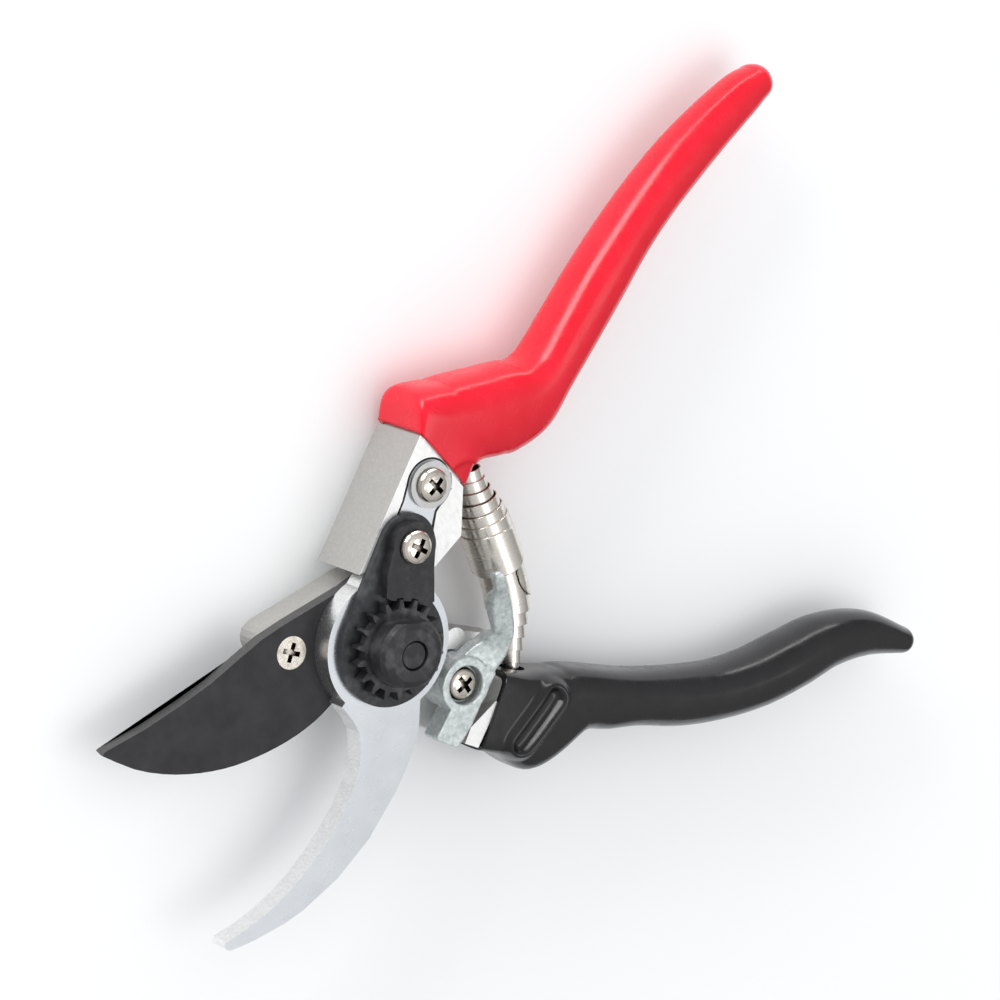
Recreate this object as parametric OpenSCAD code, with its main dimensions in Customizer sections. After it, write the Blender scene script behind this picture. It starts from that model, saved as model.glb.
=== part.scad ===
// Bypass pruning shears, fully open.
// Origin: on the pivot axis, at the outer face of the bolt head that the shears rest on.
// +Z runs along the pivot axis towards the toothed nut, +Y points out along the jaws,
// the hook is on the -X side and the cutting blade on the +X side.

/* [Levels along the pivot] */
// Height of the plane where hook and blade slide on each other
shear_z = 13; // [13:0.25:14]
// Thickness of the cutting blade
blade_t = 3; // [2.5:0.1:3.2]
// Thickness of the hook and its tang
hook_t = 5; // [4.5:0.1:5]
// Height of the bolt head below the handle castings
bolt_head_h = 2.5; // [2.2:0.1:2.8]

/* [Pivot] */
// Diameter of the pivot bolt's shank
shank_d = 9.8; // [9:0.1:10]
// Diameter of the pivot bolt's head
bolt_head_d = 18; // [16:0.5:19]
// Diameter of the bolt's threaded end
bolt_thread_d = 6.4; // [6:0.1:7]
// Outer diameter of the bush in the blade-side casting
bush_d = 13; // [12:0.25:14]
// Radial running clearance of pivots
run_gap = 0.05; // [0.02:0.01:0.1]

/* [Locking parts] */
// Number of teeth round the locking nut
nut_teeth = 18; // [16:1:20]
// Tip radius of the nut's teeth
tooth_tip_r = 10.7; // [10.5:0.1:11.2]
// Root radius of the nut's teeth
tooth_root_r = 8.8; // [8.4:0.1:9]
// Radius of the nut's barrel
nut_r = 7.7; // [7.4:0.1:8]
// Width across the nut's two wrench flats
nut_flats = 13.4; // [13:0.1:14.4]
// Radius of the round end of the lock plate under the nut
plate_r = 12.7; // [12.5:0.1:13]

/* [Jaws] */
// Radius of the hook's disc round the pivot
hook_disc_r = 15; // [14.5:0.1:15.2]
// Radius of the blade's disc round the pivot
blade_disc_r = 14.3; // [14:0.1:14.6]
// Width of the ground bevel on the back of the blade
bevel_w = 3; // [2:0.25:3.5]

/* [Handles] */
// Thickness of the coat on the handles
coat_t = 1.2; // [0.8:0.1:1.4]
// Full depth of the bare hook-side casting along Z
head_depth = 15.5; // [15:0.25:15.5]

/* [Thumb catch] */
// Radius of the catch's hub
catch_hub_r = 6; // [5.5:0.1:6]
// Radius of the recess round the catch screw's head
catch_recess_r = 4.2; // [4.1:0.05:4.4]

/* [Screws] */
// Diameter of the pan heads
pan_d = 7.3; // [7:0.1:7.6]
// Height of the pan heads
pan_h = 1.9; // [1.7:0.1:2]

/* [Hidden] */
$fn = 96;

eps = 0.05;                             // gap between sliding flat faces, and overshoot of cuts
cast_z = bolt_head_h;                   // back of both castings
blade_z = shear_z - blade_t;            // back of the blade, front of the thin casting
hook_top_z = shear_z + hook_t;          // front of hook, tang and hook-side head
plate_t = 1.5;
segment_t = 2.4;
ring_z = hook_top_z + 2;                // back of the nut's toothed ring
ring_t = 2.5;
barrel_z = ring_z + ring_t;             // foot of the nut's barrel
barrel_h = 3.7;
dome_h = 1.5;
nut_top_z = barrel_z + barrel_h + dome_h;
grip_mid_z = cast_z + head_depth / 2;   // middle plane of both handles
tooth_pitch = 360 / nut_teeth;
tooth_turn = -7;                        // where the first tooth stands

segment_pos = [17.4, -12.7];            // segment screw, on the hook side
tang_pos = [25.2, -23.3];               // tang screw, on the hook side
blade_pos = [9.3, 18.2];                // countersunk screw of the blade
catch_pos = [-18.4, -12.1];             // catch screw, on the blade side
tang_r = 5.2;                           // round end of the tang
tang_gap = 0.45;                        // gap round it in its pocket
thread_r = 2;                           // threads of the small screws
hole_r = thread_r + 0.05;                // tapped holes in the castings
clear_r = 2.1;                          // holes the screws pass through
sunk_r = 3.6;                           // countersink of the blade screw: radius and depth
sunk_h = 1.6;
wall_r = 17.6;                          // end of the hook-side head, seen from the pivot

// ---- Outlines -------------------------------------------------------------

hook_inner = [[-33.6, 60.4], [-34.1, 55], [-34, 50], [-33.4, 45], [-32.3, 40], [-30.6, 35],
              [-28.5, 30], [-25.8, 25], [-22.2, 20], [-18.3, 16.6], [-15.3, 15], [-12.7, 14.1],
              [-9.3, 14.3], [-5.2, 15.3]];
hook_outer = [[-15, -1.5], [-19.2, 0.8], [-21.3, 2.3], [-25.9, 7.3], [-29.4, 12.3],
              [-34.6, 22.3], [-37.6, 32.3], [-38.7, 42.3], [-38.5, 47.3], [-37.4, 54.3],
              [-36.5, 58], [-35.8, 60.4], [-34.9, 61.2], [-34, 61.1]];
blade_edge = [[15.8, 64.8], [9.1, 60], [4.3, 55], [0.7, 50], [-2.1, 45], [-4.2, 40], [-5.6, 35],
              [-6.6, 30], [-7.1, 25], [-7, 20], [-6.4, 16.4]];
blade_spine = [[14.3, 2], [15.6, 16.4], [15.9, 23], [15.2, 31], [14.6, 37], [14.6, 45],
               [15, 54], [16.2, 64]];
hook_tang = [[12, 7], [18.8, -7.4], [20.4, -10], [25.4, -16.5], [29.3, -20.2],
             [21.6, -27], [19.4, -22], [16.4, -19.5], [6, -13]];

tang_pocket = [[12, 7], [19.3, -7.2], [20.8, -9.7], [25.7, -16.1], [29.8, -19.9],
               [21.3, -27.7], [18.9, -22.3], [16, -20.1], [6, -13.6]];
hook_head = [[15, 3.2], [35.6, -25.7], [20, -30.2], [10.9, -25.3], [8.5, -16.4], [6.5, -12.5]];
blade_head = [[-8, 10.4], [-30.2, -6.8], [-33, -9.2], [-27.2, -17.8], [-22.5, -22.5],
              [-18.6, -28], [-13, -21.5], [-10.5, -15.5], [-2, -13.5]];
blade_arm = [[13.6, -3.5], [15.6, 19], [15.5, 20.3], [15, 21.5], [14.1, 22.5], [13, 23], [11.8, 23.1],
             [1.5, 23], [-12, 7]];
root_block = [[-30.2, -6.8], [-33, -9.2], [-27.2, -17.8], [-26.4, -17.4], [-27.9, -9.6]];

catch_tail = [[-29.4, -4.7], [-29.1, -4.1], [-25.1, -0.9], [-24.3, -0.9], [-20.6, -7],
              [-15, -12.3], [-18, -19], [-20.4, -19.6], [-23.6, -14.5], [-27.3, -9.3]];
// Horn of the catch: x, y, radius, lowest and highest level over the shear plane
horn = [[-17.2, -16.8, 4.1, 0, 6], [-15.8, -21.5, 3.1, 0.2, 7.2], [-13.6, -24.2, 2, 2.2, 8.4],
        [-11.9, -25.1, 1.7, 5.3, 8.9], [-6.5, -26.2, 1.4, 5.6, 10.3], [-3.4, -26.4, 1.2, 6.2, 11.2],
        [-1.2, -26.4, 1.1, 9.3, 12], [2.6, -26.3, 1, 9.7, 12.8]];

// Handle stations: x, y, half width, half depth, squareness of the section
red_path = [[27.8, -28.5, 9, 8.5, 12], [31.6, -33.5, 11.2, 8.5, 5], [29.2, -40.6, 11.4, 8.3, 4],
            [26.8, -47.7, 10, 8.1, 3.2], [25.5, -54.7, 8.7, 7.9, 2.8],
            [27.3, -61.9, 6.3, 7.7, 2.5], [32, -71.5, 6.3, 7.4, 2.3], [37.1, -81.4, 6.4, 7.2, 2.2],
            [42, -91.3, 6, 6.9, 2.2], [46.1, -101.4, 5.9, 6.5, 2.2], [49.3, -111.4, 5.9, 6.1, 2.2],
            [51.8, -121.5, 5.5, 5.6, 2.2], [53.7, -131.5, 4.8, 5.1, 2.2],
            [54.2, -136.1, 4, 4.6, 2.2]];
black_path = [[-28.3, -15.8, 8.7, 8.5, 9], [-33.4, -21.2, 9.4, 8.5, 5.5],
              [-40, -28.1, 11.2, 8.4, 4.5], [-42, -38.1, 7.2, 8.1, 3.4],
              [-46.7, -45, 6.6, 7.9, 2.8], [-51.2, -51.8, 6.2, 7.7, 2.5],
              [-57.7, -61.4, 6.6, 7.6, 2.3], [-63, -71.4, 6.6, 7.6, 2.2],
              [-66.6, -81.5, 6.7, 7.7, 2.2], [-68.6, -91.5, 6.7, 7.7, 2.2],
              [-70.4, -101.6, 6.2, 7.1, 2.2], [-75, -111.4, 5.2, 6, 2.2],
              [-82.4, -119.8, 3.2, 4.9, 2.2]];

red_face = [0.277, -0.96];
black_face = [-0.756, -0.654];

// Spring stations: x, y, radius; its ends sit in the sockets of the two castings
spring_path = [[-29.5, -26, 1.9], [-27, -27.3, 2.1], [-23.5, -29, 2.6], [-19.5, -30.8, 3.4],
               [-15.2, -32.3, 4.6], [-11, -33.6, 5.5], [-7, -34.3, 5.9], [-2, -34.7, 6.1],
               [3, -35, 5.95], [7, -35.2, 5.6], [10.5, -35.3, 4.9], [13.5, -35.5, 4.1],
               [16.5, -35.8, 3.5], [22, -36.4, 3.1]];
red_seat = [24, -36.5];                 // bottoms of the spring's two seats
red_seat_way = [-1, 0.08];
black_seat = [-32, -24.7];
black_seat_way = [0.9, -0.45];
seat_r = 3.7;
black_seat_r = 3.1;
seat_length = 14;

ring_steps = 3;     // rings of a handle from one station to the next
ring_sides = 24;    // points round each of them
cap_steps = 5;      // rings that round off its end

// ---- Functions ------------------------------------------------------------

// Catmull-Rom point between p[i] and p[i + 1] at fraction t
function knot(p, i) = p[max(0, min(len(p) - 1, i))];
function curve(p, i, t) =
    let (a = knot(p, i - 1), b = knot(p, i), c = knot(p, i + 1), d = knot(p, i + 2))
    0.5 * (2 * b + (c - a) * t + (2 * a - 5 * b + 4 * c - d) * t * t
           + (3 * b - a - 3 * c + d) * t * t * t);
function smooth(p, steps) =
    concat([for (i = [0:len(p) - 2], s = [0:steps - 1]) curve(p, i, s / steps)], [p[len(p) - 1]]);
function xy(v) = [v[0], v[1]];
function unit(v) = v / norm(v);
function heading(p, i) = unit(xy(knot(p, i + 1)) - xy(knot(p, i - 1)));

// Section round station s, square to direction d
function section(s, d, sides) =
    [for (j = [0:sides - 1])
        let (a = 360 * j / sides, c = cos(a), q = sin(a), e = 2 / s[4],
             u = s[2] * sign(c) * pow(abs(c), e),
             w = s[3] * sign(q) * pow(abs(q), e))
        [s[0] + u * d[1], s[1] - u * d[0], grip_mid_z + w]];

// Direction of ring i: square to the head at first, then turning to the path's own heading
function facing(stations, i, face) =
    let (turned = min(1, max(0, (i / ring_steps - 2) / 2)))
    unit((1 - turned) * face + turned * heading(stations, i));

// Stations past the end that round the handle off
function cap(s, d) =
    [for (j = [1:cap_steps])
        let (a = 88 * j / cap_steps, r = s[2])
        [s[0] + d[0] * r * sin(a), s[1] + d[1] * r * sin(a), s[2] * cos(a), s[3] * cos(a), 2.2]];
function inset(p, by) = [for (s = p) [s[0], s[1], s[2] - by, s[3] - by, s[4]]];

// ---- Shapes ---------------------------------------------------------------

// Skin through rings of equal length, closed at both ends
module loft(rings) {
    n = len(rings[0]);
    last = len(rings) - 1;
    points = [for (ring = rings) each ring];
    sides = [for (i = [0:last - 1], j = [0:n - 1])
        each [[i * n + j, i * n + (j + 1) % n, (i + 1) * n + j],
              [(i + 1) * n + j, i * n + (j + 1) % n, (i + 1) * n + (j + 1) % n]]];
    polyhedron(points, concat([[for (j = [n - 1:-1:0]) j]], sides,
                              [[for (j = [0:n - 1]) last * n + j]]), convexity = 6);
}

// Handle along a path, its surface drawn in by coat. A core also runs back into the head
// by root, where its half depth is root_depth.
module handle(path, face, coat = 0, root = 0, root_depth = 0) {
    spine = inset(smooth(path, ring_steps), coat);
    end = len(spine) - 1;
    stations = concat(spine, cap(spine[end], heading(spine, end)));
    rings = [for (i = [0:len(stations) - 1]) section(stations[i], facing(stations, i, face), ring_sides)];
    s = spine[0];
    start = [s[0] - root * face[0], s[1] - root * face[1], s[2] - 0.2, root_depth, s[4]];
    loft(root > 0 ? concat([section(start, face, ring_sides)], rings) : rings);
}

module slab(z0, z1) {
    for (i = [0:$children - 1]) translate([0, 0, z0]) linear_extrude(z1 - z0) children(i);
}

module post(pos, r, z0, z1) {
    translate([pos[0], pos[1], z0]) cylinder(h = z1 - z0, r = r);
}

// Cross recess cut into a screw head whose face is at z
module cross_recess(pos, z, turn, deep = 1.4) {
    arm = 4.2;
    wide = 1.05;
    above = 0.5;
    for (a = [0, 90])
        translate([pos[0], pos[1], z]) rotate(turn + a)
            translate([-arm / 2, -wide / 2, -deep]) cube([arm, wide, deep + above]);
}

// Pan-head screw standing on level z, with its thread going down to z_end
module pan_screw(pos, z, shank_r, z_end, turn) {
    rim = 0.4;
    difference() {
        translate([pos[0], pos[1], z]) rotate_extrude()
            polygon(concat([[0, 0], [pan_d / 2, 0]],
                           [for (a = [0:15:90])
                               [pan_d / 2 * pow(cos(a), 0.75), rim + (pan_h - rim) * sin(a)]]));
        cross_recess(pos, z + pan_h, turn);
    }
    post(pos, shank_r, z_end, z + eps);
}

// ---- Hook side ------------------------------------------------------------

module pivot_bolt() {
    chamfer = 0.7;
    color("dimgray")
        rotate_extrude() polygon([[0, 0], [bolt_head_d / 2 - chamfer, 0], [bolt_head_d / 2, chamfer],
            [bolt_head_d / 2, bolt_head_h - eps], [shank_d / 2, bolt_head_h - eps],
            [shank_d / 2, hook_top_z], [bolt_thread_d / 2, hook_top_z],
            [bolt_thread_d / 2, nut_top_z - 0.9], [bolt_thread_d / 2 - 0.5, nut_top_z - 0.4],
            [0, nut_top_z - 0.4]]);
}

module toothed_nut() {
    tooth_wide = 15;      // angle taken by a tooth at its foot, inside the root circle
    tip_wide = 3;         // and at its tip
    foot_r = tooth_root_r - 1;
    flats_turn = 61;
    color("dimgray") difference() {
        union() {
            slab(ring_z, barrel_z) {
                circle(r = tooth_root_r);
                for (k = [0:nut_teeth - 1]) {
                    a = k * tooth_pitch + tooth_turn;
                    polygon([foot_r * [cos(a - tooth_wide / 2), sin(a - tooth_wide / 2)],
                             tooth_tip_r * [cos(a - tip_wide / 2), sin(a - tip_wide / 2)],
                             tooth_tip_r * [cos(a + tip_wide / 2), sin(a + tip_wide / 2)],
                             foot_r * [cos(a + tooth_wide / 2), sin(a + tooth_wide / 2)]]);
                }
            }
            intersection() {
                translate([0, 0, barrel_z - eps]) rotate_extrude()
                    polygon([[0, 0], [nut_r, 0], [nut_r, barrel_h], [nut_r - 0.8, barrel_h + 0.9],
                             [nut_r - 2.2, barrel_h + dome_h], [0, barrel_h + dome_h]]);
                rotate(flats_turn) translate([-20, -nut_flats / 2, 0]) cube([40, nut_flats, 40]);
            }
            // plain boss between the ring and the lock plate
            post([0, 0], tooth_root_r - 0.8, hook_top_z + plate_t, ring_z + eps);
        }
        post([0, 0], bolt_thread_d / 2, hook_top_z, nut_top_z + 1);
    }
}

module lock_plate() {
    end_r = 6.6;
    color("darkslategray") difference() {
        slab(hook_top_z, hook_top_z + plate_t) {
            circle(r = plate_r);
            translate(segment_pos) circle(r = end_r);
            // one flank is tangent to both round ends, the other runs inside the nut's teeth
            gap = norm(segment_pos);
            lean = asin((plate_r - end_r) / gap);
            aim = atan2(segment_pos[1], segment_pos[0]);
            a1 = aim + 90 - lean;
            inner_a = aim - 80;
            polygon([[0, 0], plate_r * [cos(a1), sin(a1)], segment_pos + end_r * [cos(a1), sin(a1)],
                     segment_pos + end_r * [cos(inner_a), sin(inner_a)], [2.6, -12.3]]);
        }
        post([0, 0], bolt_thread_d / 2 + 0.1, 0, 40);
        post(segment_pos, clear_r, 0, 40);
    }
}

module toothed_segment() {
    end_r = 5.2;
    mesh_gap = 0.25;
    foot_half = 7.5;      // half angles of the gaps between its teeth, at root and tip
    tip_half = 4;
    low = hook_top_z + plate_t;
    color("dimgray") difference() {
        slab(low, low + segment_t) {
            translate(segment_pos) circle(r = end_r);
            polygon([[10.4, -3], [11.6, -2.2], [16, -4.5], [17.6, -6.2],
                     segment_pos + (end_r - 0.1) * [cos(62), sin(62)],
                     segment_pos + (end_r - 0.1) * [cos(-118), sin(-118)],
                     [10.8, -14.8], [4.2, -11.7]]);
        }
        slab(low - 1, low + segment_t + 1) {
            circle(r = tooth_root_r + mesh_gap);
            for (k = [0:nut_teeth - 1]) {
                a = k * tooth_pitch + tooth_turn;
                polygon([8 * [cos(a - foot_half), sin(a - foot_half)],
                         tooth_root_r * [cos(a - foot_half), sin(a - foot_half)],
                         (tooth_tip_r + mesh_gap) * [cos(a - tip_half), sin(a - tip_half)],
                         (tooth_tip_r + mesh_gap) * [cos(a + tip_half), sin(a + tip_half)],
                         tooth_root_r * [cos(a + foot_half), sin(a + foot_half)],
                         8 * [cos(a + foot_half), sin(a + foot_half)]]);
            }
        }
        post(segment_pos, clear_r, 0, 40);
    }
}

module segment_screw() {
    color("wheat") pan_screw(segment_pos, hook_top_z + plate_t + segment_t, thread_r, hook_top_z - 8, 35);
}

module hook_blade() {
    color("lightsteelblue") difference() {
        slab(shear_z, hook_top_z) {
            circle(r = hook_disc_r);
            polygon(concat(hook_inner, [[0, 0]], hook_outer));
            polygon(hook_tang);
            translate(tang_pos) circle(r = tang_r);
        }
        post([0, 0], shank_d / 2 + 0.02, 0, 40);
        post(segment_pos, clear_r, 0, 40);
        post(tang_pos, clear_r, 0, 40);
    }
}

module tang_washer() {
    color("silver") difference() {
        post(tang_pos, 5, hook_top_z, hook_top_z + 0.8);
        post(tang_pos, clear_r, 0, 40);
    }
}

module tang_screw() {
    color("wheat") pan_screw(tang_pos, hook_top_z + 0.8, thread_r, hook_top_z - 12, 20);
}

// Everything of the hook-side handle that is drilled, pocketed or socketed out
module hook_side_cuts() {
    post([0, 0], wall_r, 0, 40);
    slab(shear_z - eps, 40) {
        polygon(tang_pocket);
        translate(tang_pos) circle(r = tang_r + tang_gap);
    }
    post(segment_pos, hole_r, hook_top_z - 8.1, 40);
    post(tang_pos, hole_r, hook_top_z - 12.1, 40);
    spring_seat(red_seat, red_seat_way, seat_r);
}

// Round seat for a spring end: from its bottom point out along a direction in plan
module spring_seat(bottom, way, r) {
    translate([bottom[0], bottom[1], grip_mid_z]) rotate([0, 90, atan2(way[1], way[0])])
        cylinder(h = seat_length, r = r);
}

module red_handle_core() {
    color("gainsboro") difference() {
        union() {
            slab(cast_z, hook_top_z) polygon(hook_head);
            handle(red_path, red_face, coat_t, 2.2, 7.2);
        }
        hook_side_cuts();
    }
}

module red_grip() {
    color("crimson") difference() {
        handle(red_path, red_face);
        handle(red_path, red_face, coat_t, 2.2, 7.2);
        slab(0, hook_top_z) polygon(hook_head);
        spring_seat(red_seat, red_seat_way, seat_r);
    }
}

// ---- Blade side -----------------------------------------------------------

module pivot_bush() {
    color("peru") difference() {
        post([0, 0], bush_d / 2, cast_z + 1, blade_z);
        post([0, 0], shank_d / 2 + run_gap, 0, 40);
    }
}

module thrust_washer() {
    color("silver") difference() {
        post([0, 0], bush_d / 2 + 1, cast_z, cast_z + 1);
        post([0, 0], shank_d / 2 + run_gap, 0, 40);
    }
}

// Back outline of the blade: the cutting edge drawn in by the bevel
function bevelled(p, by) = [for (i = [0:len(p) - 1])
    let (d = heading(p, i)) p[i] + by * [-d[1], d[0]] * min(1, i / 2 + 0.15)];

module cutting_blade() {
    edge = smooth(blade_edge, 2);
    front = concat(blade_spine, edge, [[-4, 6]]);
    back = concat(blade_spine, bevelled(edge, bevel_w), [[-2, 6]]);
    land = 0.4;
    color("dimgray") difference() {
        union() {
            loft([[for (v = front) [v[0], v[1], shear_z - eps]],
                  [for (v = front) [v[0], v[1], shear_z - land]],
                  [for (v = back) [v[0], v[1], blade_z]]]);
            post([0, 0], blade_disc_r, blade_z, shear_z - eps);
        }
        post([0, 0], shank_d / 2 + run_gap, 0, 40);
        post(blade_pos, clear_r, 0, 40);
        translate([blade_pos[0], blade_pos[1], shear_z - sunk_h - eps])
            cylinder(h = sunk_h, r1 = clear_r, r2 = sunk_r);
        post(blade_pos, sunk_r, shear_z - eps - 0.01, shear_z + 1);
    }
}

module blade_screw() {
    color("wheat") difference() {
        union() {
            translate([blade_pos[0], blade_pos[1], shear_z - sunk_h - 2 * eps])
                cylinder(h = sunk_h, r1 = thread_r, r2 = sunk_r - 0.1);
            post(blade_pos, thread_r, cast_z + 2, shear_z - sunk_h);
        }
        cross_recess(blade_pos, shear_z - 2 * eps, 45, 0.9);
    }
}

module black_handle_core() {
    stop_pos = [-11.6, -17];
    color("gainsboro") difference() {
        union() {
            slab(cast_z, blade_z) {
                circle(r = 14);
                polygon(blade_arm);
                polygon(blade_head);
            }
            slab(cast_z, hook_top_z) polygon(root_block);
            post(stop_pos, 2.6, cast_z + 2, shear_z - 0.4);
            handle(black_path, black_face, coat_t, 2.2, 3.5);
        }
        spring_seat(black_seat, black_seat_way, black_seat_r);
        post([0, 0], bush_d / 2, cast_z + 1, 40);
        post([0, 0], bush_d / 2 + 1, 0, cast_z + 1);
        post(blade_pos, hole_r, cast_z + 1.9, 40);
        post(catch_pos, hole_r, cast_z + 0.9, 40);
        post(catch_pos, catch_hub_r + 0.4, blade_z, 40);
    }
}

module black_grip() {
    color("black") difference() {
        handle(black_path, black_face);
        handle(black_path, black_face, coat_t, 2.2, 3.5);
        slab(0, hook_top_z) polygon(root_block);
        slab(0, blade_z) polygon(blade_head);
        spring_seat(black_seat, black_seat_way, black_seat_r);
    }
}

module catch_washer() {
    color("silver") difference() {
        post(catch_pos, 5, blade_z, blade_z + 0.3);
        post(catch_pos, 3 + run_gap, 0, 40);
    }
}

module catch_screw() {
    color("wheat") union() {
        pan_screw(catch_pos, shear_z + 3.6, 3, blade_z + 0.001, 10);
        post(catch_pos, thread_r, cast_z + 1, blade_z + 0.001);
    }
}

module volute_spring() {
    stations = smooth(spring_path, 3);
    color("linen") loft([for (i = [0:len(stations) - 1])
        section([stations[i][0], stations[i][1], stations[i][2], stations[i][2], 2],
                heading(stations, i), 20)]);
}

// ---- Catch ----------------------------------------------------------------

module thumb_catch() {
    floor_z = shear_z + 3.6 - 0.05;     // floor of the recess round the screw head
    color("lightslategray") difference() {
        union() {
            post(catch_pos, catch_hub_r, blade_z + 0.35, shear_z + 6);
            slab(shear_z + 1.2, shear_z + 6) polygon(catch_tail);
            for (i = [0:len(horn) - 2])
                hull() for (h = [horn[i], horn[i + 1]])
                    post(h, h[2], shear_z + h[3], shear_z + h[4], $fn = 32);
        }
        post(catch_pos, catch_recess_r, floor_z, 40);
        post(catch_pos, 3 + run_gap, 0, 40);
    }
}

pivot_bolt();
toothed_nut();
lock_plate();
toothed_segment();
segment_screw();
hook_blade();
tang_washer();
tang_screw();
red_handle_core();
red_grip();
pivot_bush();
thrust_washer();
cutting_blade();
blade_screw();
black_handle_core();
black_grip();
catch_washer();
catch_screw();
volute_spring();
thumb_catch();
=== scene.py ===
# Bypass pruning shears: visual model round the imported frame.
# Lengths are in mm unless a comment says otherwise, and are scaled by MM where they reach Blender.
import bmesh
import bpy
import math
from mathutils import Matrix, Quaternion
from mathutils import Vector


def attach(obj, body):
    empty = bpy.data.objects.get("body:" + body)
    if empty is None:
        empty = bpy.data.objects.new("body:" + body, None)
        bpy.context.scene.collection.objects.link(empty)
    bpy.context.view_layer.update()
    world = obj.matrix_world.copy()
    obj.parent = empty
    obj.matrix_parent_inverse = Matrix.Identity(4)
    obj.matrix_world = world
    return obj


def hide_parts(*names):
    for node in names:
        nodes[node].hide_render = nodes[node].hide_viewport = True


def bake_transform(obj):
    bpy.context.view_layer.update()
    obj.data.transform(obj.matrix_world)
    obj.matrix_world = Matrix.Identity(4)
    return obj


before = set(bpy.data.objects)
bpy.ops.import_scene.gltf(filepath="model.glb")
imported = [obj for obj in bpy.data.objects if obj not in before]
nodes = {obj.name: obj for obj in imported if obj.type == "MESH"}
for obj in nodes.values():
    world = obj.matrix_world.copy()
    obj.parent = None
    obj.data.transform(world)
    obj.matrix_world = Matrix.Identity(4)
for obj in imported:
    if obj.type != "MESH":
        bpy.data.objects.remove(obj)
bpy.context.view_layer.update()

MM = 0.001
GRIP_MID = 10.25        # middle plane of both handles
SHEAR = 13.0            # plane where hook and blade slide on each other
COAT = 1.15             # thickness of the grips' coat
ROUND = 2.2             # squareness of the grips' sections towards their ends; 2 is an ellipse

# Handle stations: x, y, half width, half depth, squareness of the section
RED_PATH = [
    (27.8, -28.5, 9, 8.5, 12), (31.6, -33.5, 11.2, 8.6, 4), (29.2, -40.6, 11.4, 8.5, 3),
    (26.8, -47.7, 10, 8.2, 2.7), (25.5, -54.7, 8.7, 7.9, 2.5), (27.3, -61.9, 6.3, 7.7, 2.4),
    (32, -71.5, 6.3, 7.4, 2.3), (37.1, -81.4, 6.4, 7.2, 2.2), (42, -91.3, 6, 6.9, 2.2),
    (46.1, -101.4, 5.9, 6.5, 2.2), (49.3, -111.4, 5.9, 6.1, 2.2), (51.8, -121.5, 5.5, 5.6, 2.2),
    (53.7, -131.5, 4.8, 5.1, 2.2), (54.2, -136.1, 4, 4.6, 2.2)]
BLACK_PATH = [
    (-28.3, -15.8, 8.7, 8.5, 9), (-33.4, -21.2, 9.4, 8.6, 4.5), (-40, -28.1, 11.2, 8.6, 3.6),
    (-42, -38.1, 7.2, 8.2, 3), (-46.7, -45, 6.6, 7.9, 2.8), (-51.2, -51.8, 6.2, 7.7, 2.5),
    (-57.7, -61.4, 6.6, 7.6, 2.3), (-63, -71.4, 6.6, 7.6, 2.2), (-66.6, -81.5, 6.7, 7.7, 2.2),
    (-68.6, -91.5, 6.7, 7.7, 2.2), (-70.4, -101.6, 6.2, 7.1, 2.2), (-75, -111.4, 5.2, 6, 2.2),
    (-82.4, -119.8, 3.2, 4.9, 2.2)]
# Directions in which the grips leave the castings
RED_FACE = (0.277, -0.96)
BLACK_FACE = (-0.756, -0.654)

# Spring stations from the hook-side seat to the blade-side one: x, y, radius
SPRING_PATH = [
    (22, -36.4, 3.1), (16.5, -35.8, 3.5), (13.5, -35.5, 4.1), (10.5, -35.3, 4.9), (7, -35.2, 5.6),
    (3, -35, 5.95), (-2, -34.7, 6.1), (-7, -34.3, 5.9), (-11, -33.6, 5.5), (-15.2, -32.3, 4.6),
    (-19.5, -30.8, 3.4), (-23.5, -29, 2.6), (-27, -27.3, 2.1), (-29.5, -26, 1.9)]
# Round seats for the spring's ends: bottom point, direction outwards, radius
RED_SEAT = ((24, -36.5), (-1, 0.08), 3.7)
BLACK_SEAT = ((-32, -24.7), (0.9, -0.45), 3.1)
SEAT_LENGTH = 14
SEAT_SIDES = 64

CATCH_POS = (-18.4, -12.1)
CATCH_TAIL = [(-29.4, -4.7), (-29.1, -4.1), (-25.1, -0.9), (-24.3, -0.9), (-20.6, -7),
              (-15, -12.3), (-18, -19), (-20.4, -19.6), (-23.6, -14.5), (-27.3, -9.3)]
# Horn of the catch: x, y, radius, lowest and highest level over the shear plane
HORN = [(-18.6, -13.6, 4.6, 0, 6), (-17.2, -16.8, 4.1, 0, 6), (-15.6, -21.3, 3.3, 0.2, 7.2),
        (-13.4, -23.6, 2.6, 2.2, 8.4), (-11.6, -24.6, 2.3, 5.3, 8.9), (-6.5, -25.4, 2.2, 5.5, 10.3),
        (-3.4, -25.9, 1.7, 6.5, 11.2), (-1.2, -26.2, 1.3, 9.3, 12), (2.6, -26.3, 1, 9.8, 12.8)]


# ---- Curves and meshes ------------------------------------------------------

def knot(path, i):
    """path[i], with the first and last points repeated beyond the ends."""
    return path[max(0, min(len(path) - 1, i))]


def curve(path, i, t):
    """Catmull-Rom point between path[i] and path[i + 1] at fraction t."""
    a, b, c, d = (knot(path, i + k) for k in (-1, 0, 1, 2))
    return [0.5 * (2 * q + (r - p) * t + (2 * p - 5 * q + 4 * r - s) * t * t
                   + (3 * q - p - 3 * r + s) * t ** 3)
            for p, q, r, s in zip(a, b, c, d)]


def smooth_path(path, steps):
    points = [curve(path, i, k / steps) for i in range(len(path) - 1) for k in range(steps)]
    return points + [list(path[-1])]


def heading(path, i):
    a, b = knot(path, i - 1), knot(path, i + 1)
    return Vector((b[0] - a[0], b[1] - a[1])).normalized()


def ease(x):
    """Rises from 0 to 1 with level ends as x goes from 0 to 1."""
    x = min(1, max(0, x))
    return x * x * (3 - 2 * x)


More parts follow.
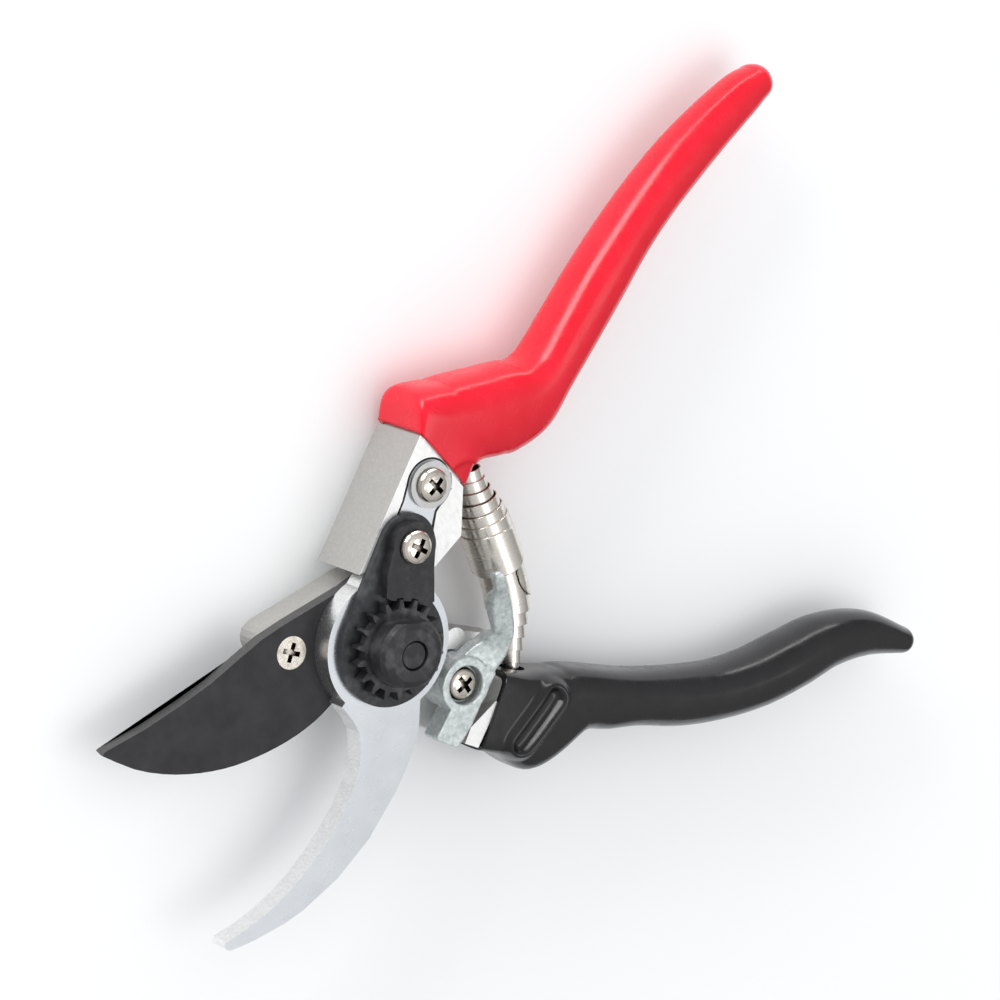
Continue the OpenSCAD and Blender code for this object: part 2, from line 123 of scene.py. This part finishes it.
def add_mesh(name, points, faces, smooth=True):
    mesh = bpy.data.meshes.new(name)
    mesh.from_pydata([Vector(p) * MM for p in points], [], faces)
    mesh.validate()
    bm = bmesh.new()
    bm.from_mesh(mesh)
    bmesh.ops.recalc_face_normals(bm, faces=bm.faces)
    for face in bm.faces:
        face.smooth = smooth
    bm.to_mesh(mesh)
    bm.free()
    obj = bpy.data.objects.new(name, mesh)
    bpy.context.scene.collection.objects.link(obj)
    return obj


def bridge(first, second, count):
    """Quads between two rings of points, given by the index of each one's first point."""
    return [(first + j, first + (j + 1) % count, second + (j + 1) % count, second + j)
            for j in range(count)]


def tube_faces(rings, count, closed_start=True):
    """Faces of a tube through rings of count points each, closed at its end."""
    faces = []
    for i in range(rings - 1):
        faces += bridge(i * count, (i + 1) * count, count)
    if closed_start:
        faces.append(tuple(reversed(range(count))))
    faces.append(tuple(range((rings - 1) * count, rings * count)))
    return faces


def apply_modifiers(obj):
    """Replaces an object's mesh with what its modifiers make of it."""
    graph = bpy.context.evaluated_depsgraph_get()
    mesh = bpy.data.meshes.new_from_object(obj.evaluated_get(graph))
    old = obj.data
    obj.modifiers.clear()
    obj.data = mesh
    mesh.name = obj.name
    bpy.data.meshes.remove(old)


def combine(obj, other, operation):
    """Boolean of obj with other, which is used up."""
    mod = obj.modifiers.new("join", "BOOLEAN")
    mod.operation = operation
    mod.solver = "EXACT"
    mod.object = other
    apply_modifiers(obj)
    bpy.data.objects.remove(other)


def seat_bar(bottom, way, radius):
    """Round bar in the handles' middle plane, to cut a spring seat with."""
    aim = Vector(way).normalized()
    rings = []
    for reach in (0, SEAT_LENGTH):
        x, y = bottom[0] + aim.x * reach, bottom[1] + aim.y * reach
        for j in range(SEAT_SIDES):
            a = 2 * math.pi * j / SEAT_SIDES
            u, w = radius * math.cos(a), radius * math.sin(a)
            rings.append((x + u * aim.y, y - u * aim.x, GRIP_MID + w))
    return add_mesh("seat", rings, tube_faces(2, SEAT_SIDES), smooth=False)


def set_smooth(obj, sharp_angle=None):
    """Smooth shading, but for edges sharper than sharp_angle degrees."""
    obj.data.polygons.foreach_set("use_smooth", [True] * len(obj.data.polygons))
    if sharp_angle:
        obj.data.set_sharp_from_angle(angle=math.radians(sharp_angle))


# ---- Materials --------------------------------------------------------------

class Finish:
    """A node material: object-space textures feeding one Principled shader."""

    def __init__(self, name, base, roughness, metallic=0.0, coat=0.0, specular=0.5):
        self.mat = bpy.data.materials.new(name)
        self.mat.use_nodes = True
        self.tree = self.mat.node_tree
        self.bsdf = self.tree.nodes["Principled BSDF"]
        self.bsdf.inputs["Base Color"].default_value = (*base, 1)
        self.bsdf.inputs["Roughness"].default_value = roughness
        self.bsdf.inputs["Metallic"].default_value = metallic
        self.bsdf.inputs["Coat Weight"].default_value = coat
        self.bsdf.inputs["Coat Roughness"].default_value = 0.15
        self.bsdf.inputs["Specular IOR Level"].default_value = specular
        self.mat.diffuse_color = (*base, 1)
        self.coords = self.tree.nodes.new("ShaderNodeTexCoord").outputs["Object"]
        self.height = None

    def node(self, kind, **inputs):
        made = self.tree.nodes.new(kind)
        for key, value in inputs.items():
            socket = made.inputs[key.replace("_", " ")]
            if isinstance(value, bpy.types.NodeSocket):
                self.tree.links.new(value, socket)
            else:
                socket.default_value = value
        return made

    def stretched(self, scale, turn=0.0):
        """Object coordinates in mm, squeezed along axes to give brushed or drawn textures."""
        made = self.node("ShaderNodeMapping", Vector=self.coords)
        made.inputs["Scale"].default_value = [s / MM for s in scale]
        made.inputs["Rotation"].default_value = (0, 0, math.radians(turn))
        return made.outputs["Vector"]

    def noise(self, size, detail=4.0, rough=0.55, stretch=(1, 1, 1), turn=0.0):
        """Noise whose features are about size mm across."""
        made = self.node("ShaderNodeTexNoise", Vector=self.stretched(stretch, turn), Scale=1.0 / size,
                         Detail=detail, Roughness=rough)
        return made.outputs["Fac"]

    def band(self, value, low, high, to_low=0.0, to_high=1.0):
        """value carried from the range low to high over to to_low to to_high, clamped."""
        made = self.node("ShaderNodeMapRange", Value=value, From_Min=low, From_Max=high,
                         To_Min=to_low, To_Max=to_high)
        made.clamp = True
        return made.outputs["Result"]

    def mix(self, factor, first, second):
        """Colour that goes from first to second as factor goes from 0 to 1."""
        made = self.tree.nodes.new("ShaderNodeMix")
        made.data_type = "RGBA"
        factor_in, first_in, second_in = (made.inputs[k] for k in (0, 6, 7))
        for socket, value in ((factor_in, factor), (first_in, first), (second_in, second)):
            if isinstance(value, bpy.types.NodeSocket):
                self.tree.links.new(value, socket)
            else:
                socket.default_value = (*value, 1)
        return made.outputs[2]

    def calculate(self, operation, a, b=0.0):
        made = self.tree.nodes.new("ShaderNodeMath")
        made.operation = operation
        for socket, value in zip(made.inputs, (a, b)):
            if isinstance(value, bpy.types.NodeSocket):
                self.tree.links.new(value, socket)
            else:
                socket.default_value = value
        return made.outputs[0]

    def facing(self):
        """1 on faces square to Z, 0 on walls along Z."""
        normal = self.tree.nodes.new("ShaderNodeTexCoord").outputs["Normal"]
        z = self.node("ShaderNodeSeparateXYZ", Vector=normal).outputs["Z"]
        return self.band(self.calculate("ABSOLUTE", z), 0.6, 0.85)

    def colour(self, socket):
        self.tree.links.new(socket, self.bsdf.inputs["Base Color"])
        return self

    def roughness(self, socket):
        self.tree.links.new(socket, self.bsdf.inputs["Roughness"])
        return self

    def bump(self, socket, depth):
        """Adds relief of the given depth in mm."""
        made = self.node("ShaderNodeBump", Height=socket, Strength=1.0, Distance=depth * MM)
        if self.height is not None:
            self.tree.links.new(self.height, made.inputs["Normal"])
        self.height = made.outputs["Normal"]
        self.tree.links.new(self.height, self.bsdf.inputs["Normal"])
        return self


def black_oxide(name, base, shine):
    """Blackened steel with a worn grey sheen and fine pits."""
    f = Finish(name, base, 0.42, metallic=0.55)
    worn = tuple(c * 2.6 + 0.02 for c in base)
    patches = f.band(f.noise(3.5, 6), 0.48, 0.72, 0.0, shine)
    pits = f.noise(0.28, 3)
    f.colour(f.mix(patches, base, worn))
    f.roughness(f.band(f.noise(1.4, 5), 0.3, 0.7, 0.3, 0.5))
    return f.bump(pits, 0.03).bump(f.noise(1.6), 0.04).mat


def screw_nickel():
    """Bright warm nickel, with painted shade darkening it in the cross recess and other crevices."""
    f = Finish("screw_nickel", (0.71, 0.66, 0.59), 0.2, metallic=1.0)
    bright = f.mix(f.band(f.noise(2.2, 5), 0.5, 0.75), (0.78, 0.73, 0.66), (0.56, 0.51, 0.45))
    # painted shade: ambient occlusion turns the colour near-black brown down in the cross recess and in
    # crevices
    shade = f.node("ShaderNodeAmbientOcclusion", Distance=1.6 * MM)
    outside_painted_shade = f.band(shade.outputs["AO"], 0.45, 0.8)
    f.colour(f.mix(outside_painted_shade, (0.045, 0.03, 0.02), bright))
    f.roughness(f.band(f.noise(0.8), 0.3, 0.7, 0.12, 0.24))
    return f.bump(f.noise(0.5), 0.006).mat


def hook_chrome():
    """Satin-ground flats, and coarse cross-ground walls painted much brighter than the flats as a
    painted reflection of the pale floor below them.
    """
    f = Finish("hook_chrome", (0.8, 0.82, 0.86), 0.3, metallic=1.0)
    flat = f.facing()
    wall_grain = f.noise(0.4, 5, 0.7, stretch=(1, 1, 0.3))
    # painted reflection: walls near-white, brighter than the flats, standing in for the pale floor they
    # face
    wall = f.mix(f.band(wall_grain, 0.35, 0.7), (0.8, 0.8, 0.8), (0.98, 0.98, 0.97))
    face = f.mix(f.band(f.noise(9, 4), 0.3, 0.7), (0.60, 0.625, 0.66), (0.66, 0.685, 0.72))
    f.colour(f.mix(flat, wall, face))
    f.roughness(f.band(f.noise(0.5, 5, stretch=(1, 0.12, 1), turn=-8), 0.25, 0.75, 0.26, 0.31))
    wall_relief = f.calculate("MULTIPLY", wall_grain, f.calculate("SUBTRACT", 1.0, flat))
    return f.bump(wall_relief, 0.06).mat


def cast_aluminium():
    """Forged and linished light alloy with faint stains, its flats painted lighter and its walls darker
    as painted light and shade.
    """
    f = Finish("cast_aluminium", (0.7, 0.69, 0.67), 0.42, metallic=0.75)
    flat = f.facing()
    grain = f.noise(0.5, 5, 0.6, stretch=(0.2, 1, 1), turn=30)
    stain = f.band(f.noise(5, 5, 0.6), 0.62, 0.8, 0.0, 0.35)
    # painted light and shade: flats near-white and walls mid grey, picked by which way the surface
    # faces
    face = f.mix(f.band(grain, 0.3, 0.7), (0.84, 0.84, 0.83), (0.95, 0.95, 0.94))
    wall = f.mix(f.band(grain, 0.3, 0.7), (0.42, 0.41, 0.39), (0.50, 0.49, 0.47))
    f.colour(f.mix(stain, f.mix(flat, wall, face), (0.45, 0.4, 0.3)))
    f.roughness(f.band(f.noise(1.2, 4), 0.3, 0.7, 0.36, 0.55))
    return f.bump(grain, 0.02).bump(f.noise(2.5, 4), 0.05).mat


def coat(name, deep, light, rough, gloss):
    """Dipped soft PVC: slightly uneven gloss and a faint orange-peel surface."""
    f = Finish(name, light, rough, coat=gloss, specular=0.4)
    f.colour(f.mix(f.band(f.noise(16, 3), 0.3, 0.7), deep, light))
    f.roughness(f.band(f.noise(4, 5), 0.3, 0.7, rough - 0.06, rough + 0.08))
    return f.bump(f.noise(0.9, 2), 0.01).bump(f.noise(9, 2), 0.03).mat


def bush_bronze():
    """Turned bronze."""
    f = Finish("bush_bronze", (0.48, 0.3, 0.13), 0.35, metallic=1.0)
    f.colour(f.mix(f.noise(1.5), (0.36, 0.22, 0.1), (0.56, 0.36, 0.17)))
    return f.bump(f.noise(0.3, stretch=(1, 1, 0.2)), 0.01).mat


def washer_steel():
    """Plain grey steel."""
    f = Finish("washer_steel", (0.5, 0.5, 0.5), 0.32, metallic=1.0)
    f.colour(f.mix(f.noise(1.2), (0.42, 0.42, 0.42), (0.6, 0.6, 0.6)))
    return f.bump(f.noise(0.3), 0.01).mat


def blade_coating():
    """Charcoal low-friction coating, brighter on its walls than on its flats."""
    f = Finish("blade_coating", (0.02, 0.018, 0.02), 0.42, metallic=0.2, specular=0.4)
    flat = f.facing()
    fine = f.noise(0.25, 4, 0.7)
    face = f.mix(f.band(f.noise(7, 5), 0.35, 0.7), (0.016, 0.015, 0.017), (0.028, 0.026, 0.029))
    wall = f.mix(f.band(fine, 0.35, 0.7), (0.035, 0.035, 0.037), (0.10, 0.096, 0.092))
    f.colour(f.mix(flat, wall, face))
    f.roughness(f.band(f.noise(2.4, 5), 0.3, 0.7, 0.36, 0.52))
    return f.bump(fine, 0.012).bump(f.noise(0.6, 3, stretch=(1, 0.1, 1), turn=-5), 0.006).mat


def spring_nickel():
    """Nickel-plated tape with drawn lines along it."""
    f = Finish("spring_nickel", (0.8, 0.76, 0.7), 0.24, metallic=1.0)
    drawn = f.noise(0.6, 4, 0.6, stretch=(1, 0.1, 0.1), turn=10)
    f.colour(f.mix(f.band(drawn, 0.3, 0.75), (0.90, 0.86, 0.80), (0.74, 0.69, 0.63)))
    f.roughness(f.band(drawn, 0.3, 0.7, 0.16, 0.34))
    return f.bump(f.noise(0.4), 0.008).mat


def catch_zinc():
    """Plated zinc die casting, mottled grey-green."""
    f = Finish("catch_zinc", (0.3, 0.34, 0.34), 0.4, metallic=0.6)
    mottle = f.noise(1.1, 6, 0.7)
    f.colour(f.mix(f.band(mottle, 0.35, 0.68), (0.42, 0.47, 0.47), (0.74, 0.78, 0.77)))
    f.roughness(f.band(f.noise(0.7, 4), 0.3, 0.7, 0.3, 0.5))
    return f.bump(mottle, 0.05).bump(f.noise(0.25), 0.015).mat


def floor_paper():
    """Plain white paper."""
    f = Finish("floor_paper", (0.9, 0.9, 0.9), 0.9, specular=0.1)
    f.colour(f.mix(f.noise(30, 2), (0.895, 0.895, 0.895), (0.905, 0.905, 0.905)))
    return f.bump(f.noise(0.6), 0.01).mat


def dress(obj, mat):
    obj.data.materials.clear()
    obj.data.materials.append(mat)


def soften(obj, width, segments=2, angle=35):
    """Rounds edges sharper than angle degrees by a modifier, which leaves the mesh as it is."""
    mod = obj.modifiers.new("edge", "BEVEL")
    mod.width = width * MM
    mod.segments = segments
    mod.limit_method = "ANGLE"
    mod.angle_limit = math.radians(angle)


# ---- Grips ------------------------------------------------------------------

RING_STEPS = 10         # rings from one station to the next
HEAD_STEPS = 30         # and closer together on the first stations
HEAD_KNOTS = 3
RING_SIDES = 176
CAP_STEPS = 10          # rings that round off the end
CAP_ANGLE = 88          # how far round they go, in degrees
TURN_FROM = 2           # stations over which the rings turn from the face to the path's own heading
TURN_OVER = 2
LIP_INSET = 0.25        # where the lip lies between the outer and the inner skin
LIP_REACH = 0.35        # how far the coat reaches over the casting at its open end


def grip_line(path):
    """Points down a handle, and how many stations lie behind each of them."""
    line, behind = [], []
    for i in range(len(path) - 1):
        steps = HEAD_STEPS if i < HEAD_KNOTS else RING_STEPS
        for k in range(steps):
            line.append(curve(path, i, k / steps))
            behind.append(i + k / steps)
    return line + [list(path[-1])], behind + [len(path) - 1]


def grip_rings(path, face, inset):
    """Rings of points down a grip, as the casting under it has them, with its rounded end."""
    line, behind = grip_line(path)
    last = len(line) - 1
    along = heading(line, last)
    stations = []
    for i, s in enumerate(line):
        turned = min(1, max(0, (behind[i] - TURN_FROM) / TURN_OVER))
        aim = ((1 - turned) * Vector(face) + turned * heading(line, i)).normalized()
        stations.append((s[0], s[1], s[2] - inset, s[3] - inset, s[4], aim))
    end = stations[-1]
    for k in range(1, CAP_STEPS + 1):
        a = math.radians(CAP_ANGLE * k / CAP_STEPS)
        reach = end[2] * math.sin(a)
        stations.append((end[0] + along.x * reach, end[1] + along.y * reach,
                         end[2] * math.cos(a), end[3] * math.cos(a), ROUND, along))
    return stations


def ring_points(station):
    """Section of a grip: a superellipse, its points spread evenly by direction."""
    x, y, wide, deep, square, aim = station
    points = []
    for j in range(RING_SIDES):
        a = 2 * math.pi * j / RING_SIDES
        c, s = math.cos(a), math.sin(a)
        reach = ((abs(c) / wide) ** square + (abs(s) / deep) ** square) ** (-1 / square)
        points.append(Vector((x + reach * c * aim.y, y - reach * c * aim.x, GRIP_MID + reach * s)))
    return points


def grip(name, path, face, shape, seat):
    """A coat: outer and inner skin joined round its open end. shape moves the outer points."""
    outer = [ring_points(s) for s in grip_rings(path, face, 0)]
    inner = [ring_points(s) for s in grip_rings(path, face, COAT)]
    lip = [p.lerp(q, LIP_INSET) for p, q in zip(outer[0], inner[0])]
    outer[0] = [p + Vector((face[0], face[1], 0)) * LIP_REACH for p in outer[0]]
    outer = [[shape(p) for p in ring] for ring in outer]
    rings = [inner[0], lip] + outer
    points = [p for ring in rings for p in ring]
    faces = tube_faces(len(rings), RING_SIDES, closed_start=False)
    base = len(points)
    points += [p for ring in inner[1:] for p in ring]
    faces += bridge(0, base, RING_SIDES)
    for i in range(len(inner) - 2):
        faces += bridge(base + i * RING_SIDES, base + (i + 1) * RING_SIDES, RING_SIDES)
    faces.append(tuple(range(len(points) - RING_SIDES, len(points))))
    obj = add_mesh(name, points, faces)
    combine(obj, seat_bar(*seat), "DIFFERENCE")
    set_smooth(obj, sharp_angle=50)
    return obj


def distance_to(p, a, b):
    """Distance in plan from p to the segment from a to b."""
    ab = Vector(b) - Vector(a)
    ap = Vector((p.x - a[0], p.y - a[1]))
    t = min(1, max(0, ap.dot(ab) / ab.length_squared))
    return (ap - ab * t).length


NOSE_POS = (19.3, -30.9)
NOSE_R = 4.8
NOSE_CREASE = 1.3       # width of the crease round it
NOSE_DROP = COAT - 0.15


def red_shape(p):
    """Nose over the spring's seat, set a little below the crown of the grip by a soft crease."""
    if p.z < GRIP_MID:
        return p
    nose = (Vector(p[:2]) - Vector(NOSE_POS)).length
    drop = -NOSE_DROP * (1 - ease((nose - NOSE_R) / NOSE_CREASE))
    side = ease((p.z - GRIP_MID) / 5)
    return p + Vector((0, 0, drop * side))


GROOVE_ENDS = ((-38.2, -18.5), (-34.2, -30))
GROOVE_R = 2.4          # half its width
GROOVE_SLOPE = 1.9      # width of its slopes
GROOVE_DEPTH = COAT - 0.25
RIM_R = 2.9             # how far the crest of the rim stands from the groove's middle line
RIM_FADE = 1.8          # how far it fades to either side
RIM_HEIGHT = 1.2


def black_shape(p):
    """Thumb groove on the front between raised rims, no deeper than the coat."""
    if p.z < GRIP_MID:
        return p
    far = distance_to(p, *GROOVE_ENDS)
    groove = -GROOVE_DEPTH * ease((GROOVE_R - far) / GROOVE_SLOPE)
    rim = RIM_HEIGHT * ease(1 - abs(far - RIM_R) / RIM_FADE)
    side = ease((p.z - GRIP_MID - 2) / 4)
    return p + Vector((0, 0, (groove + rim) * side))


# ---- Spring -----------------------------------------------------------------

TRACK_STEPS = 12
TAPE_T = 0.3            # thickness of the spring's tape
TAPE_W = 9.6            # its width
TAPE_SPREAD = (-1, -0.34, 0.34, 1)      # points across it, as parts of half its width
TAPE_EDGE = 0.07        # rounding of its edges
TONGUE = 0.16           # part of a turn that the rounded tongue takes
TONGUE_TIP = 0.004      # part of a turn left off its very tip
TURNS = 6.9             # of each half
TURN_STEPS = 60
TURN_GAP = 0.02         # between one turn and the next inside it


class Track:
    """The spring's centre line and radius by distance along it."""

    def __init__(self, path):
        line = smooth_path(path, TRACK_STEPS)
        self.points = [Vector(p[:2]) for p in line]
        self.radii = [p[2] for p in line]
        self.marks = [0.0]
        for a, b in zip(self.points, self.points[1:]):
            self.marks.append(self.marks[-1] + (b - a).length)

    def at(self, s):
        """Point, direction and radius at distance s."""
        s = min(self.marks[-1], max(0, s))
        i = max(k for k, m in enumerate(self.marks[:-1]) if m <= s)
        t = (s - self.marks[i]) / (self.marks[i + 1] - self.marks[i])
        aim = (self.points[i + 1] - self.points[i]).normalized()
        radius = self.radii[i] + (self.radii[i + 1] - self.radii[i]) * t
        return self.points[i].lerp(self.points[i + 1], t), aim, radius


def volute(track, middle, pitch, sense, phase, under):
    """Tape wound inwards along the track, from a rounded tongue on its widest turn.

    middle is where its first turn lies, pitch its advance in a turn, sense the way it goes,
    phase where the tongue starts and under how far it lies below the track's radius."""
    points, radii = [], []
    total = int(TURNS * TURN_STEPS)
    for k in range(total + 1):
        t = k / TURN_STEPS
        centre = middle + sense * pitch * t
        r = track.at(centre + sense * (TAPE_W - pitch) / 2)[2] - under
        if k >= TURN_STEPS:
            r = min(r, radii[k - TURN_STEPS] - TAPE_T - TURN_GAP)
        radii.append(r)
        tongue = math.sqrt(1 - (1 - min(1, (t + TONGUE_TIP) / TONGUE)) ** 2)
        a = sense * 2 * math.pi * t + phase
        for depth, spread in ((r, TAPE_SPREAD), (r - TAPE_T, TAPE_SPREAD[::-1])):
            for across in spread:
                p, aim, _ = track.at(centre + across * TAPE_W / 2 * tongue)
                points.append((p.x + aim.y * depth * math.cos(a), p.y - aim.x * depth * math.cos(a),
                               GRIP_MID + depth * math.sin(a)))
    return points, tube_faces(total + 1, 2 * len(TAPE_SPREAD))


def volute_spring():
    """Two volutes, one inside the other in the middle."""
    track = Track(SPRING_PATH)
    first = volute(track, middle=22.5, pitch=2.4, sense=-1, phase=math.radians(145), under=0)
    second = volute(track, middle=29.5, pitch=2.9, sense=1, phase=math.radians(100),
                    under=TAPE_T + TURN_GAP)
    base = len(first[0])
    faces = first[1] + [tuple(base + v for v in face) for face in second[1]]
    obj = add_mesh("spring_tape", first[0] + second[0], faces, smooth=False)
    soften(obj, TAPE_EDGE, segments=1, angle=50)
    apply_modifiers(obj)
    set_smooth(obj, sharp_angle=40)
    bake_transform(obj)
    return obj


# ---- Thumb catch ------------------------------------------------------------

def prism(name, outline, low, high):
    """Upright prism between two levels over the shear plane."""
    low, high = SHEAR + low, SHEAR + high
    count = len(outline)
    points = [(x, y, low) for x, y in outline] + [(x, y, high) for x, y in outline]
    return add_mesh(name, points, tube_faces(2, count), smooth=False)


def disc(name, radius, low, high, sides=72):
    """Round prism about the catch's screw."""
    outline = [(CATCH_POS[0] + radius * math.cos(2 * math.pi * j / sides),
                CATCH_POS[1] + radius * math.sin(2 * math.pi * j / sides)) for j in range(sides)]
    return prism(name, outline, low, high)


CATCH_TOP = 6           # of hub and tail, over the shear plane
HUB_R = 6.0
RECESS_R = 4.2          # round the head of the catch screw
BORE_R = 3.05
CUT_ABOVE = 30          # cuts end well above and below the catch
CUT_BELOW = -10
HORN_LEAN = 0.3         # how far its top falls away from the outer ridge
HORN_STEPS = 8
HORN_SIDES = 28
HORN_TIP = 4            # rings that round off its tip
VOXEL = 0.22


def horn():
    """Bar along the stations of HORN, nearly square in section, with its outer top edge highest."""
    line = smooth_path(HORN, HORN_STEPS)
    last = len(line) - 1
    rings = []
    for i, (x, y, wide, low, high) in enumerate(line):
        aim = heading(line, i)
        tip = max(0, i - last + HORN_TIP)
        shrink = math.sqrt(max(0.08, 1 - (tip / (HORN_TIP + 0.2)) ** 2))
        ring = []
        for j in range(HORN_SIDES):
            a = 2 * math.pi * j / HORN_SIDES
            u = wide * shrink * math.copysign(abs(math.cos(a)) ** 0.45, math.cos(a))
            w = (high - low) / 2 * shrink * math.copysign(abs(math.sin(a)) ** 0.4, math.sin(a))
            if w > 0:
                w *= 1 + HORN_LEAN * (u / (wide * shrink) - 1)
            ring.append((x + u * aim.y, y - u * aim.x, SHEAR + (low + high) / 2 + w))
        rings.append(ring)
    return add_mesh("horn", [p for ring in rings for p in ring], tube_faces(len(rings), HORN_SIDES))


def thumb_catch():
    """Hub, tail and horn in one casting with softened edges."""
    obj = disc("thumb_catch_body", HUB_R, -2.6, CATCH_TOP)
    combine(obj, prism("tail", CATCH_TAIL, 1.2, CATCH_TOP), "UNION")
    combine(obj, horn(), "UNION")
    combine(obj, disc("recess", RECESS_R, 3.55, CUT_ABOVE), "DIFFERENCE")
    combine(obj, disc("bore", BORE_R, CUT_BELOW, CUT_ABOVE), "DIFFERENCE")
    remesh = obj.modifiers.new("cast", "REMESH")
    remesh.mode = "VOXEL"
    remesh.voxel_size = VOXEL * MM
    relax = obj.modifiers.new("relax", "SMOOTH")
    relax.factor = 0.5
    relax.iterations = 2
    apply_modifiers(obj)
    set_smooth(obj)
    return obj


# ---- Stage ------------------------------------------------------------------

TARGET = Vector((9.44, -39.42, 13)) * MM
AZIMUTH, ELEVATION, ROLL = 41.774, 52.458, 108.506     # of the camera, in degrees
DISTANCE = 0.91924      # of the camera, in metres
LENS, SENSOR = 158.1, 36
FLOOR = -0.2            # level of the floor, just under the bolt head, in mm
FLOOR_HALF = 3000       # half its width, in mm


def make_camera():
    """The photo's own view."""
    a, e = math.radians(AZIMUTH), math.radians(ELEVATION)
    back = Vector((math.cos(a) * math.cos(e), math.sin(a) * math.cos(e), math.sin(e)))
    data = bpy.data.cameras.new("camera")
    data.lens = LENS
    data.sensor_width = SENSOR
    data.clip_start = 0.05
    data.clip_end = 20
    cam = bpy.data.objects.new("camera", data)
    cam.rotation_mode = "QUATERNION"
    cam.location = TARGET + back * DISTANCE
    cam.rotation_quaternion = back.to_track_quat("Z", "Y") @ Quaternion((0, 0, 1), math.radians(ROLL))
    bpy.context.scene.collection.objects.link(cam)
    bpy.context.scene.camera = cam
    return cam


def softbox(name, cam, right, up, near, size, power):
    """Area light aimed at the object, placed by metres right, up and near as the camera sees it."""
    turn = cam.rotation_quaternion
    place = TARGET + turn @ Vector((right, up, near))
    data = bpy.data.lights.new(name, "AREA")
    data.shape = "RECTANGLE"
    data.size, data.size_y = size
    data.energy = power
    lamp = bpy.data.objects.new(name, data)
    lamp.location = place
    lamp.rotation_mode = "QUATERNION"
    lamp.rotation_quaternion = (place - TARGET).to_track_quat("Z", "Y")
    bpy.context.scene.collection.objects.link(lamp)


def studio_world():
    """Even white light on the object, with a darker surround in its reflections."""
    world = bpy.data.worlds.new("studio")
    world.use_nodes = True
    tree = world.node_tree
    back = tree.nodes["Background"]
    back.inputs["Color"].default_value = (0.96, 0.98, 1, 1)
    back.inputs["Strength"].default_value = 0.88
    seen = tree.nodes.new("ShaderNodeBackground")
    up = tree.nodes.new("ShaderNodeSeparateXYZ")
    tree.links.new(tree.nodes.new("ShaderNodeTexCoord").outputs["Generated"], up.inputs[0])
    fade = tree.nodes.new("ShaderNodeMapRange")
    fade.inputs["To Min"].default_value = 0.3
    fade.inputs["To Max"].default_value = 0.95
    tree.links.new(up.outputs["Z"], fade.inputs["Value"])
    tree.links.new(fade.outputs["Result"], seen.inputs["Strength"])
    mix = tree.nodes.new("ShaderNodeMixShader")
    tree.links.new(tree.nodes.new("ShaderNodeLightPath").outputs["Is Glossy Ray"], mix.inputs[0])
    tree.links.new(back.outputs[0], mix.inputs[1])
    tree.links.new(seen.outputs[0], mix.inputs[2])
    tree.links.new(mix.outputs[0], tree.nodes["World Output"].inputs["Surface"])
    return world


def make_stage():
    """Camera, lights and floor."""
    cam = make_camera()
    softbox("key", cam, -0.45, 0.75, 0.75, (0.8, 0.5), 9.5)
    softbox("fill", cam, 0.85, -0.35, 0.7, (0.7, 0.7), 2.5)
    softbox("strip", cam, 0.25, 1.0, 0.25, (1.2, 0.16), 3)
    bpy.context.scene.world = studio_world()
    bpy.context.scene.view_settings.view_transform = "Standard"
    corners = [(x * FLOOR_HALF, y * FLOOR_HALF, FLOOR) for x, y in ((-1, -1), (1, -1), (1, 1), (-1, 1))]
    floor = add_mesh("floor", corners, [(0, 1, 2, 3)], smooth=False)
    dress(floor, floor_paper())


def dress_frame():
    """Materials and softened edges, with their widths, for the CAD nodes that stay."""
    nickel = screw_nickel()
    cast = cast_aluminium()
    steel = washer_steel()
    oxide = (0.030, 0.029, 0.031)
    looks = {
        "pivot_bolt": (black_oxide("bolt_black_oxide", oxide, 0.5), 0.25),
        "toothed_nut": (black_oxide("nut_black_oxide", (0.034, 0.033, 0.036), 0.8), 0.22),
        "lock_plate": (black_oxide("plate_black_oxide", (0.036, 0.037, 0.04), 0.6), 0.25),
        "toothed_segment": (black_oxide("segment_black_oxide", oxide, 0.4), 0.15),
        "segment_screw": (nickel, 0.08),
        "hook_blade": (hook_chrome(), 0.45),
        "tang_washer": (steel, 0.1),
        "tang_screw": (nickel, 0.08),
        "red_handle_core": (cast, 0.35),
        "pivot_bush": (bush_bronze(), 0.15),
        "thrust_washer": (steel, 0.1),
        "cutting_blade": (blade_coating(), 0.12),
        "blade_screw": (nickel, 0.06),
        "black_handle_core": (cast, 0.3),
        "catch_washer": (steel, 0.05),
        "catch_screw": (nickel, 0.08)}
    for name, (mat, width) in looks.items():
        dress(nodes[name], mat)
        soften(nodes[name], width)


def place(obj, mat, body, node, slot):
    """Dresses a piece and ties it to the frame; a blended piece has no body of its own."""
    dress(obj, mat)
    if body:
        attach(obj, body)
    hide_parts(node)


make_stage()
dress_frame()
place(grip("red_grip_coat", RED_PATH, RED_FACE, red_shape, RED_SEAT),
      coat("red_coat", (0.66, 0.001, 0.014), (0.73, 0.003, 0.022), 0.24, 0.12),
      "hook_handle", "red_grip", "red_coat")
place(grip("black_grip_coat", BLACK_PATH, BLACK_FACE, black_shape, BLACK_SEAT),
      coat("black_coat", (0.0045, 0.004, 0.005), (0.007, 0.0065, 0.008), 0.24, 0.3),
      "blade_handle", "black_grip", "black_coat")
place(volute_spring(), spring_nickel(), None, "volute_spring", "spring_nickel")
place(thumb_catch(), catch_zinc(), "catch", "thumb_catch", "catch_zinc")
